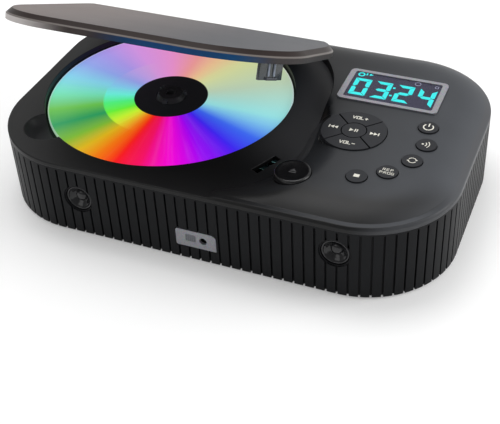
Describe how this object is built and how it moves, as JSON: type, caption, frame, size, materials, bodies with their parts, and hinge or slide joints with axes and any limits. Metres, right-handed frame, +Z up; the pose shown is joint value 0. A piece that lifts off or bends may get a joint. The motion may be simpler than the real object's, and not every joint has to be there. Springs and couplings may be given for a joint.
{
  "type": "portable cd player",
  "caption": "Flat rounded portable disc player with ribbed walls, a hinged smoked lid over a disc well, a raised key and display panel and front speakers.",
  "frame": {"origin": "centre of the footprint at the underside of the rubber feet", "axes": "+Z up, +X to the right along the case's length seen from the front, +Y from the front to the hinge side"},
  "size_m": [0.218, 0.1364, 0.0995],
  "materials": {
    "case_plastic": "satin ribbed moulding",
    "base_plastic": "fine matte texture",
    "cover_plastic": "soft satin",
    "well_plastic": "satin",
    "disc_foil": "lacquered mirror with rainbow diffraction",
    "hub_plastic": "satin",
    "claw_plastic": "polished",
    "motor_steel": "plated can",
    "chassis_plastic": "moulded",
    "damper_rubber": "soft",
    "rod_steel": "ground",
    "pickup_plastic": "moulded",
    "lens_glass": "coated lens",
    "bezel_paint": "silver grey satin paint",
    "window_glass": "dark gloss",
    "module_plastic": "dark display with cyan digits",
    "board_laminate": "green solder mask",
    "component_plastic": "moulded epoxy",
    "mat_rubber": "silicone",
    "button_plastic": "gloss",
    "spring_steel": "drawn wire",
    "latch_plastic": "natural acetal",
    "lid_smoke": "smoked translucent gloss",
    "hook_smoke": "smoked translucent",
    "plate_paint": "silver satin paint",
    "infrared_glass": "smoked infrared filter",
    "jack_plastic": "moulded",
    "socket_steel": "drawn shell",
    "cell_sleeve": "heat-shrink sleeve",
    "screw_steel": "black oxide",
    "foot_rubber": "moulded rubber",
    "arm_plastic": "moulded",
    "pin_steel": "ground",
    "speaker_frame_plastic": "moulded",
    "magnet_steel": "plated",
    "speaker_cone_film": "pressed film",
    "key_plastic": "satin with pale legends"
  },
  "bodies": {
    "case": {"ribbed_case": "case_plastic", "bottom_cover": "base_plastic", "rubber_foot_1": "foot_rubber", "rubber_foot_2": "foot_rubber", "rubber_foot_3": "foot_rubber", "rubber_foot_4": "foot_rubber", "case_screws": "screw_steel", "top_cover": "cover_plastic", "disc_well": "well_plastic", "spindle_motor": "motor_steel", "deck_chassis": "chassis_plastic", "deck_dampers": "damper_rubber", "guide_rod_front": "rod_steel", "guide_rod_rear": "rod_steel", "sled_motor": "motor_steel", "display_bezel": "bezel_paint", "display_window": "window_glass", "display_module": "module_plastic", "control_board": "board_laminate", "key_mat": "mat_rubber", "open_spring": "spring_steel", "front_plate": "plate_paint", "infrared_window": "infrared_glass", "headphone_jack": "jack_plastic", "charging_socket": "socket_steel", "main_board": "board_laminate", "board_parts": "component_plastic", "rechargeable_cell": "cell_sleeve", "hinge_pin_left": "pin_steel", "hinge_pin_right": "pin_steel", "speaker_frame_left": "speaker_frame_plastic", "speaker_magnet_left": "magnet_steel", "speaker_cone_left": "speaker_cone_film", "speaker_frame_right": "speaker_frame_plastic", "speaker_magnet_right": "magnet_steel", "speaker_cone_right": "speaker_cone_film"},
    "lid": {"lid_shell": "lid_smoke", "hinge_arm_left": "arm_plastic", "hinge_arm_right": "arm_plastic", "latch_hook": "hook_smoke"},
    "spindle": {"turntable": "hub_plastic", "hub_claws": "claw_plastic", "compact_disc": "disc_foil"},
    "sled": {"optical_pickup": "pickup_plastic", "pickup_lens": "lens_glass"},
    "sled_screw": {"sled_screw": "rod_steel"},
    "open_button": {"open_button": "button_plastic"},
    "latch": {"latch_slider": "latch_plastic"},
    "play_key": {"play_key": "key_plastic"},
    "volume_up_key": {"volume_up_key": "key_plastic"},
    "volume_down_key": {"volume_down_key": "key_plastic"},
    "previous_key": {"previous_key": "key_plastic"},
    "next_key": {"next_key": "key_plastic"},
    "power_key": {"power_key": "key_plastic"},
    "source_key": {"source_key": "key_plastic"},
    "mode_key": {"mode_key": "key_plastic"},
    "program_key": {"program_key": "key_plastic"},
    "stop_key": {"stop_key": "key_plastic"}
  },
  "joints": [
    {"name": "lid_hinge", "type": "hinge", "parent": "case", "child": "lid", "pos_m": [0, 0.0651, 0.0384], "axis": [-1, 0, 0], "range_deg": [-26.6, 38]},
    {"name": "spindle_spin", "type": "hinge", "parent": "case", "child": "spindle", "pos_m": [-0.0418, 0.0028, 0.034], "axis": [0, 0, 1], "continuous": true},
    {"name": "sled_slide", "type": "slide", "parent": "case", "child": "sled", "axis": [1, 0, 0], "range_m": [0, 0.03]},
    {"name": "screw_spin", "type": "hinge", "parent": "case", "child": "sled_screw", "pos_m": [-0.0298, -0.0232, 0.021], "axis": [1, 0, 0], "range_deg": [0, 1800]},
    {"name": "open_press", "type": "slide", "parent": "case", "child": "open_button", "axis": [0, 0, -1], "range_m": [0, 0.0012], "stiffness_N_per_m": 900, "deforming": ["open_spring"]},
    {"name": "latch_slide", "type": "slide", "parent": "case", "child": "latch", "axis": [0.8988, -0.4384, 0], "range_m": [0, 0.0012]},
    {"name": "play_press", "type": "slide", "parent": "case", "child": "play_key", "axis": [0, 0, -1], "range_m": [0, 0.0008], "stiffness_N_per_m": 700},
    {"name": "volume_up_press", "type": "slide", "parent": "case", "child": "volume_up_key", "axis": [0, 0, -1], "range_m": [0, 0.0008], "stiffness_N_per_m": 700},
    {"name": "volume_down_press", "type": "slide", "parent": "case", "child": "volume_down_key", "axis": [0, 0, -1], "range_m": [0, 0.0008], "stiffness_N_per_m": 700},
    {"name": "previous_press", "type": "slide", "parent": "case", "child": "previous_key", "axis": [0, 0, -1], "range_m": [0, 0.0008], "stiffness_N_per_m": 700},
    {"name": "next_press", "type": "slide", "parent": "case", "child": "next_key", "axis": [0, 0, -1], "range_m": [0, 0.0008], "stiffness_N_per_m": 700},
    {"name": "power_press", "type": "slide", "parent": "case", "child": "power_key", "axis": [0, 0, -1], "range_m": [0, 0.0008], "stiffness_N_per_m": 700},
    {"name": "source_press", "type": "slide", "parent": "case", "child": "source_key", "axis": [0, 0, -1], "range_m": [0, 0.0008], "stiffness_N_per_m": 700},
    {"name": "mode_press", "type": "slide", "parent": "case", "child": "mode_key", "axis": [0, 0, -1], "range_m": [0, 0.0008], "stiffness_N_per_m": 700},
    {"name": "program_press", "type": "slide", "parent": "case", "child": "program_key", "axis": [0, 0, -1], "range_m": [0, 0.0008], "stiffness_N_per_m": 700},
    {"name": "stop_press", "type": "slide", "parent": "case", "child": "stop_key", "axis": [0, 0, -1], "range_m": [0, 0.0008], "stiffness_N_per_m": 700}
  ],
  "couplings": [
    {"joint": "screw_spin", "follows": "sled_slide", "rad_per_m": 1047.2},
    {"joint": "latch_slide", "follows": "open_press", "ratio": 0.8}
  ]
}
